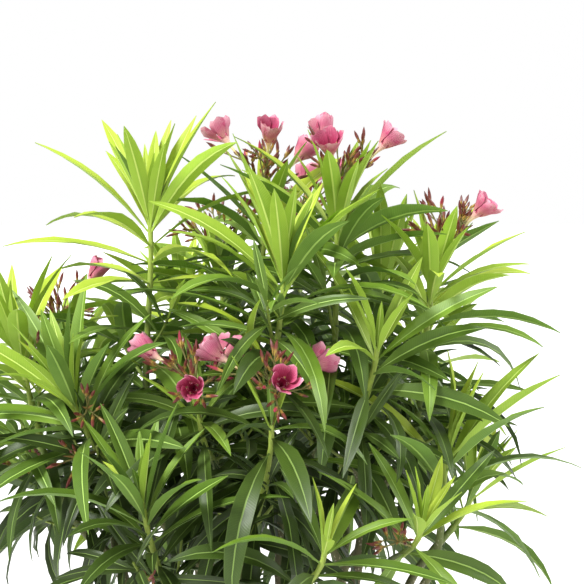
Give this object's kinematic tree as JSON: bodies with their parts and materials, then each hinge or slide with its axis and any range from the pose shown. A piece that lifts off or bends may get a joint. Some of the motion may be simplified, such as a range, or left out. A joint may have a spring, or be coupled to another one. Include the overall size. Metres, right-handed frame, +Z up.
{
  "type": "potted oleander",
  "caption": "Flowering evergreen shrub with slender forked stems, whorls of long narrow leaves and pink flower sprays, growing in a plain clay pot.",
  "frame": {"origin": "centre of the pot's flat underside, on the ground", "axes": "+Z up from the ground through the plant, -Y towards the front, +X to the right seen from the front"},
  "size_m": [0.731, 0.7347, 0.9874],
  "materials": {
    "clay": "matte",
    "potting_mix": "matte",
    "bark": "matte",
    "leaf": "satin",
    "petal": "satin",
    "bud": "satin"
  },
  "bodies": {
    "root": {"bough_back_left_far": "bark", "bough_back_left_high": "bark", "bough_back_left_low": "bark", "bough_back_right_far": "bark", "bough_back_right_high": "bark", "bough_back_right_low": "bark", "bough_behind_left": "bark", "bough_bloom_front": "bark", "bough_bloom_left": "bark", "bough_centre_bloom": "bark", "bough_centre_front": "bark", "bough_centre_left_bloom": "bark", "bough_front_left": "bark", "bough_front_low": "bark", "bough_left_far": "bark", "bough_left_front": "bark", "bough_left_low": "bark", "bough_right_front": "bark", "bough_right_high": "bark", "bough_right_inner": "bark", "bough_right_mid": "bark", "bough_right_pendant": "bark", "bough_right_side": "bark", "bough_tall_left": "bark", "foliage_back_left_far": "leaf", "foliage_back_left_high": "leaf", "foliage_back_left_low": "leaf", "foliage_back_right_far": "leaf", "foliage_back_right_high": "leaf", "foliage_back_right_low": "leaf", "foliage_behind_left": "leaf", "foliage_bloom_front": "leaf", "foliage_bloom_left": "leaf", "foliage_centre_bloom": "leaf", "foliage_centre_front": "leaf", "foliage_centre_left_bloom": "leaf", "foliage_front_left": "leaf", "foliage_front_low": "leaf", "foliage_left_far": "leaf", "foliage_left_front": "leaf", "foliage_left_low": "leaf", "foliage_right_front": "leaf", "foliage_right_high": "leaf", "foliage_right_inner": "leaf", "foliage_right_mid": "leaf", "foliage_right_pendant": "leaf", "foliage_right_side": "leaf", "foliage_tall_left": "leaf", "pot": "clay", "soil": "potting_mix", "stem_back_left": "bark", "stem_back_right": "bark", "stem_centre": "bark", "stem_front": "bark", "stem_inner_left": "bark", "stem_left": "bark", "stem_right": "bark", "stem_right_low": "bark"}
  },
  "joints": []
}
